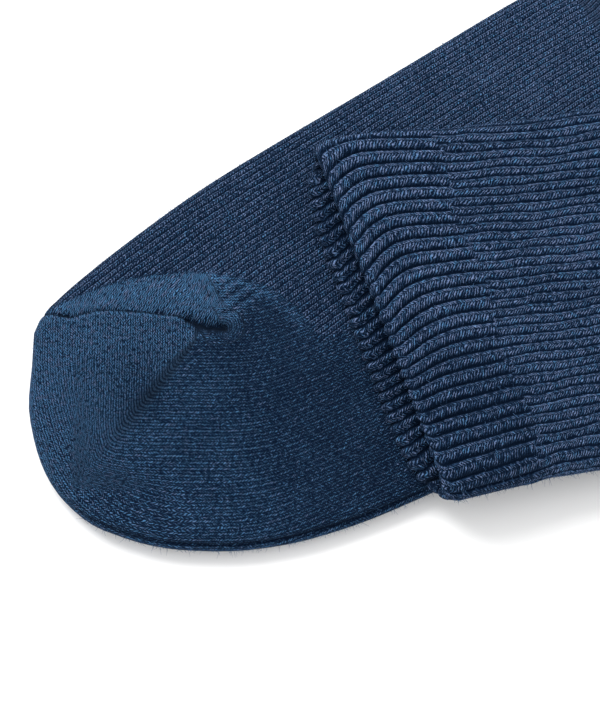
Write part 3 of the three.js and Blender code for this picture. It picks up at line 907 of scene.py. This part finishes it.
def knit_material():
    material = bpy.data.materials.new("navy_knit")
    material.use_nodes = True
    tree = material.node_tree
    tree.nodes.clear()
    g = Graph(tree)
    place = g.node("ShaderNodeTexCoord").outputs["Object"]
    plain_wale, plain_course, plain = g.three("plain")
    cuff_ribs, fine_ribs, cuff = g.three("ribs")
    along, on_leg, instep = g.three("length")
    # The look holds the painted groove shade, the tone with its painted light, and the distance past the seam
    groove, tone_and_painted_shading, from_seam = g.three("look")

    # Which knit shows: plain, the fine ribs of instep and leg, or the deep ribs of the cuff
    is_plain = g.math("GREATER_THAN", plain, 0.5)
    ragged = around_middle(g, g.noise(place, NOISE_SCALE["ragged_rib_ends"], 1.0), 1.6, cuff)
    is_cuff = g.math("GREATER_THAN", ragged, 0.5)
    herring = g.math("MAXIMUM", is_cuff, g.math("GREATER_THAN", on_leg, 0.5))
    wale = g.mix(is_cuff, g.mix(is_plain, fine_ribs, plain_wale), cuff_ribs)
    course = g.mix(is_plain, along, plain_course)
    wale_waver = g.noise(place, NOISE_SCALE["wale_waver"], 2.0)
    wale = around_middle(g, wale_waver, g.mix(is_plain, 0.3, 0.45), wale)
    course = around_middle(g, g.noise(place, NOISE_SCALE["course_waver"], 1.0), 1.6, course)
    course = around_middle(g, g.noise(place, NOISE_SCALE["course_jitter"], 1.0), 1.0, course)
    column = g.math("FLOOR", wale)
    across = g.math("FRACT", wale)
    column_luck = g.node("ShaderNodeTexWhiteNoise", noise_dimensions="1D")
    g.put(column_luck.inputs["W"], column)
    own_course = around_middle(g, column_luck.outputs["Value"], 0.6, course)
    stitch_place = g.combine(g.math("MULTIPLY", wale, 1.7), g.math("MULTIPLY", course, 0.6))
    skips = g.noise(stitch_place, 1.3, 2.0, 0.6)
    presence = around_middle(g, skips, 3.2, 0.95)

    # Instep: a thin line on each fine rib and short strokes beside it
    dash_place = g.math("MULTIPLY_ADD", g.math("FRACT", own_course), 0.13, 0.14)
    dash_along = g.math("POWER", ridge(g, g.math("FRACT", own_course)), 0.35)
    dash = g.math("MULTIPLY", hump(g, across, dash_place, 0.15), dash_along)
    stroke = ridge(g, g.math("FRACT", g.math("MULTIPLY_ADD", across, 1.25, own_course)))
    stroke = g.math("MULTIPLY", g.math("POWER", stroke, 1.8), 0.85)
    stroke = g.math("MULTIPLY", stroke, hump(g, across, 0.64, 0.33))
    odd = g.math("MODULO", g.math("ABSOLUTE", column), 2.0)
    dim = g.math("SUBTRACT", 1.0, g.math("MULTIPLY", odd, g.math("MULTIPLY", instep, 0.12)))
    line_height = g.math("MULTIPLY", g.math("MAXIMUM", dash, stroke), dim)

    # Plain knit: the two steep legs of each stitch
    left_leg = ridge(g, g.math("FRACT", g.math("MULTIPLY_ADD", across, -PLAIN_LEG_SLOPE, own_course)))
    right_leg = ridge(g, g.math("FRACT", g.math("MULTIPLY_ADD", across, PLAIN_LEG_SLOPE, own_course)))
    crisp = g.math("SUBTRACT", plain, 1.0, clamp=True)
    left_leg = g.math("MULTIPLY", g.math("POWER", left_leg, 1.8), hump(g, across, 0.25, 0.27))
    right_leg = g.math("MULTIPLY", g.math("POWER", right_leg, 1.8), hump(g, across, 0.75, 0.28))
    left_leg = g.math("MULTIPLY", left_leg, g.math("MULTIPLY_ADD", crisp, 0.1, 0.9))
    right_leg = g.math("MULTIPLY", right_leg, g.math("MULTIPLY_ADD", crisp, 0.2, 0.7))
    leg_height = g.math("MAXIMUM", left_leg, right_leg)
    plain_height = g.mix(is_plain, line_height, leg_height)

    # Ribs of the leg and cuff: two legs of a V on each rib
    from_apex = g.math("SUBTRACT", across, RIB_APEX)
    upper_half = g.math("DIVIDE", from_apex, 1 - RIB_APEX)
    half = g.math("MAXIMUM", upper_half, g.math("DIVIDE", from_apex, -RIB_APEX))
    vee = ridge(g, g.math("FRACT", g.math("MULTIPLY_ADD", half, -RIB_LEG_SLOPE, course)))
    vee = g.math("POWER", vee, 2.0)
    half_fall = g.math("SUBTRACT", 1.0, g.math("POWER", half, 3.0), clamp=True)
    split = g.math("MULTIPLY_ADD", g.fall(half, 0.0, 0.2), 0.5, 0.5)
    vee_height = g.math("MULTIPLY", g.math("MULTIPLY", vee, half_fall), split)
    upper_line = g.math("MULTIPLY", hump(g, across, 0.12, 0.08), 0.7)
    vee_height = g.math("MAXIMUM", vee_height, upper_line)

    height = g.math("MULTIPLY", g.mix(herring, plain_height, vee_height), presence)
    fibres = g.noise(g.combine(g.math("MULTIPLY", wale, 2.2), course), 1.6, 3.0, 0.65)
    fine = g.noise(place, NOISE_SCALE["fine_fibre"], 2.0, 0.6)
    thread_height = around_middle(g, fibres, 0.5, height)
    thread_height = around_middle(g, fine, 0.35, thread_height)

    # Colour: heathered yarn, with painted shade between the threads and in the grooves, a painted highlight
    # on the thread crests, and the painted light that the tone carries
    patches = g.noise(place, NOISE_SCALE["patches"], 3.0, 0.6)
    base, crisp_base = SHADE["base"]
    height_gain, crisp_height_gain = SHADE["height"]
    fibre_gain, crisp_fibre_gain = SHADE["fibres"]
    height_gain = g.math("MULTIPLY_ADD", crisp, crisp_height_gain, height_gain)
    shade = g.math("MULTIPLY_ADD", height, height_gain, base)
    shade = g.math("MULTIPLY_ADD", crisp, crisp_base, shade)
    fibre_gain = g.math("MULTIPLY_ADD", crisp, crisp_fibre_gain, fibre_gain)
    shade = around_middle(g, fibres, fibre_gain, shade)
    shade = around_middle(g, fine, SHADE["fine"], shade)
    shade = around_middle(g, patches, SHADE["patches"], shade)
    seam_course = around_middle(g, patches, 2.0, g.math("MULTIPLY", along, COURSE / SEAM_STITCH))
    stitch = ridge(g, g.math("FRACT", seam_course))
    seam_line = hump(g, from_seam, 0.0, 0.42)
    seam_line = g.math("MULTIPLY", seam_line, g.math("MULTIPLY_ADD", stitch, -0.7, 1.1))
    seam_tooth = hump(g, from_seam, -0.6, 0.6)
    seam_tooth = g.math("MULTIPLY", seam_tooth, g.math("MULTIPLY_ADD", stitch, 1.4, -0.5))
    # The tone with its painted light, and the painted shade in the grooves
    tone_share = g.math("MULTIPLY_ADD", height, 0.9, 0.5)
    shade = g.math("MULTIPLY_ADD", tone_and_painted_shading, tone_share, shade)
    shade = g.math("MULTIPLY_ADD", groove, SHADE["groove"], shade)
    shade = g.math("MULTIPLY_ADD", seam_line, SHADE["seam"], shade)
    shade = g.math("ADD", shade, seam_tooth)
    low = g.fall(shade, -0.1, 0.5)
    high = g.fall(shade, 0.4, 1.5)
    hue = g.noise(g.combine(wale, g.math("MULTIPLY", course, 0.4)), 1.1, 2.0, 0.7)
    hue = g.fall(g.math("MULTIPLY_ADD", is_plain, 0.13, hue), 0.44, 0.68)
    light = g.mix_colour(hue, VIOLET_LIGHT, BLUE_LIGHT)
    colour = g.mix_colour(low, GAP_SHADE, NAVY)
    colour = g.mix_colour(high, colour, light)
    flecks = g.noise(place, NOISE_SCALE["flecks"], 2.0, 0.7)
    fleck = g.math("MULTIPLY", g.math("MULTIPLY", g.fall(flecks, 0.62, 0.78), 0.6), g.fall(shade, 0.1, 0.6))
    colour = g.mix_colour(fleck, colour, FLECK)

    bump_node = g.node("ShaderNodeBump")
    bump_node.inputs["Strength"].default_value = 1.0
    bump_node.inputs["Distance"].default_value = BUMP_DEPTH * MM
    g.put(bump_node.inputs["Height"], thread_height)
    shader = g.node("ShaderNodeBsdfPrincipled")
    g.put(shader.inputs["Base Color"], colour)
    g.put(shader.inputs["Normal"], bump_node.outputs[0])
    shader.inputs["Roughness"].default_value = 0.95
    shader.inputs["Specular IOR Level"].default_value = 0.02
    shader.inputs["Sheen Weight"].default_value = 0.03
    shader.inputs["Sheen Roughness"].default_value = 0.5
    shader.inputs["Sheen Tint"].default_value = (0.4, 0.65, 1, 1)
    output = g.node("ShaderNodeOutputMaterial")
    g.put(output.inputs["Surface"], shader.outputs[0])
    return material


# Loose fibres: short bent hairs that stand out from the knit
CAMERA_WAY = np.array((0, -math.cos(CAMERA["elevation"]), math.sin(CAMERA["elevation"])))
FIBRE_STEPS = 4
FUZZ = {
    "count": 4500,
    "by_fold": 0.5,
    "shortest": 0.4,
    "longest": 1.2,
    "width": 0.07,
    "lean": 1.2,
    "colour": (0.035, 0.075, 0.15, 1),
}


def unit(vectors):
    return vectors / np.maximum(np.linalg.norm(vectors, axis=-1, keepdims=True), 1e-9)


def fibre_roots(sock, start, end):
    """Points on the upper side, more of them by its two folds, with the way out of the cloth."""
    count = FUZZ["count"]
    along = DICE.uniform(start, end, count)
    around = DICE.uniform(0, 1, count)
    by_edge = DICE.random(count) < FUZZ["by_fold"]
    near = DICE.uniform(0, 0.07, count)
    near = np.where(DICE.random(count) < 0.5, near, 1 - near)
    around = np.where(by_edge, near, around)
    roots, _ = shell_points(sock, along, around, 0.0)
    lifted, _ = shell_points(sock, along, around, 0.0, 1.0)
    return roots, unit(lifted - roots)


def fibre_mesh(name, roots, outward):
    count = len(roots)
    flat = unit(DICE.normal(0, 1, (count, 3)))
    start = unit(outward * DICE.uniform(0.15, FUZZ["lean"], (count, 1)) + flat)
    bend = 0.7 * unit(DICE.normal(0, 1, (count, 3)))
    length = DICE.uniform(FUZZ["shortest"], FUZZ["longest"], (count, 1))
    points = []
    for step in range(FIBRE_STEPS + 1):
        share = step / FIBRE_STEPS
        middle = roots + length * (share * start + share**2 * bend)
        middle[:, 2] = np.maximum(middle[:, 2], 0.1)
        half = FUZZ["width"] / 2 * (1 - 0.7 * share)
        points.append(middle - half * unit(np.cross(start, CAMERA_WAY)))
        points.append(middle + half * unit(np.cross(start, CAMERA_WAY)))
    points = np.stack(points, 1).reshape(-1, 3)
    per_fibre = 2 * (FIBRE_STEPS + 1)
    quads = []
    for step in range(FIBRE_STEPS):
        first = np.arange(count) * per_fibre + 2 * step
        quads.append(np.stack((first, first + 1, first + 3, first + 2), 1))
    return make_mesh(name, points, (np.concatenate(quads), []), {}, [], 0)


def fibre_material(name, colour):
    material = bpy.data.materials.new(name)
    material.use_nodes = True
    g = Graph(material.node_tree)
    shader = material.node_tree.nodes["Principled BSDF"]
    place = g.node("ShaderNodeTexCoord").outputs["Object"]
    heather = g.noise(place, NOISE_SCALE["loose_fibres"])
    light = g.mix_colour(heather, colour, [min(1, 2.2 * part) for part in colour])
    g.put(shader.inputs["Base Color"], light)
    shader.inputs["Roughness"].default_value = 1.0
    shader.inputs["Specular IOR Level"].default_value = 0.05
    return material


# Stage
FLOOR_REACH = 3.0
FLOOR_HEIGHT = -0.0002


def floor():
    mesh = bpy.data.meshes.new("floor")
    reach = FLOOR_REACH
    corners = [(-reach, -reach, 0), (reach, -reach, 0), (reach, reach, 0), (-reach, reach, 0)]
    mesh.from_pydata(corners, [], [(0, 1, 2, 3)])
    piece = bpy.data.objects.new("floor", mesh)
    bpy.context.scene.collection.objects.link(piece)
    piece.location.z = FLOOR_HEIGHT
    material = bpy.data.materials.new("white_paper")
    material.use_nodes = True
    shader = material.node_tree.nodes["Principled BSDF"]
    shader.inputs["Base Color"].default_value = (0.93, 0.93, 0.93, 1)
    shader.inputs["Roughness"].default_value = 0.9
    shader.inputs["Specular IOR Level"].default_value = 0.1
    mesh.materials.append(material)


def area_light(name, size, power, place, target):
    light = bpy.data.lights.new(name, "AREA")
    light.shape = "DISK"
    light.size = size
    light.energy = power
    lamp = bpy.data.objects.new(name, light)
    bpy.context.scene.collection.objects.link(lamp)
    lamp.location = place
    aim(lamp, target)


def aim(thing, target):
    way = Vector(target) - thing.location
    thing.rotation_euler = way.to_track_quat("-Z", "Y").to_euler()


def lights():
    centre = (-PAIR_MIDDLE[0] * MM, -PAIR_MIDDLE[1] * MM, 0)
    area_light("key", 1.0, 23.0, (centre[0] - 0.7, centre[1] + 0.85, 1.2), centre)
    world = bpy.data.worlds.new("studio")
    bpy.context.scene.world = world
    world.use_nodes = True
    background = world.node_tree.nodes["Background"]
    background.inputs["Color"].default_value = (1.0, 1.0, 1.0, 1)
    background.inputs["Strength"].default_value = 1.15


# Camera: a long lens looking down at the pair, as the photo does
def camera():
    data = bpy.data.cameras.new("camera")
    data.sensor_width = CAMERA["film_width"]
    data.lens = CAMERA["film_width"] * CAMERA["distance"] / CAMERA["field_height"]
    data.clip_start = 0.01
    piece = bpy.data.objects.new("camera", data)
    bpy.context.scene.collection.objects.link(piece)
    back = CAMERA["distance"] * math.cos(CAMERA["elevation"])
    up = CAMERA["distance"] * math.sin(CAMERA["elevation"])
    x, y = -PAIR_MIDDLE[0], -PAIR_MIDDLE[1]
    piece.location = (x * MM, (y - back) * MM, (CAMERA["target_height"] + up) * MM)
    piece.rotation_euler = (math.pi / 2 - CAMERA["elevation"], 0, 0)
    bpy.context.scene.camera = piece


camera()
floor()
knit = knit_material()
fine_toe = {"toe": 0.37, "foot": 1.6, "ankle": 1.5, "leg": 2.4, "cuff": 0.8}
fine_cuff = {"toe": 0.8, "foot": 1.6, "ankle": 1.5, "leg": 1.2, "cuff": 0.4}
fuzz = fibre_material("loose_fibres", FUZZ["colour"])
for sock, steps, fuzz_from, fuzz_to in ((LOWER, fine_toe, 2, 190), (UPPER, fine_cuff, 270, CUFF_EDGE - 1)):
    pieces = sock_pieces(sock, steps)
    roots, outward = fibre_roots(sock, fuzz_from, fuzz_to)
    hairs = fibre_mesh(f"{sock['name']}_fuzz", roots, outward)
    hairs.data.materials.append(fuzz)
    for piece in pieces.values():
        piece.data.materials.append(knit)
    for piece in (*pieces.values(), hairs):
        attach(piece, "root")
        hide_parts(sock["name"])
lights()
scene = bpy.context.scene
scene.view_settings.view_transform = "Standard"
scene.view_settings.look = "None"
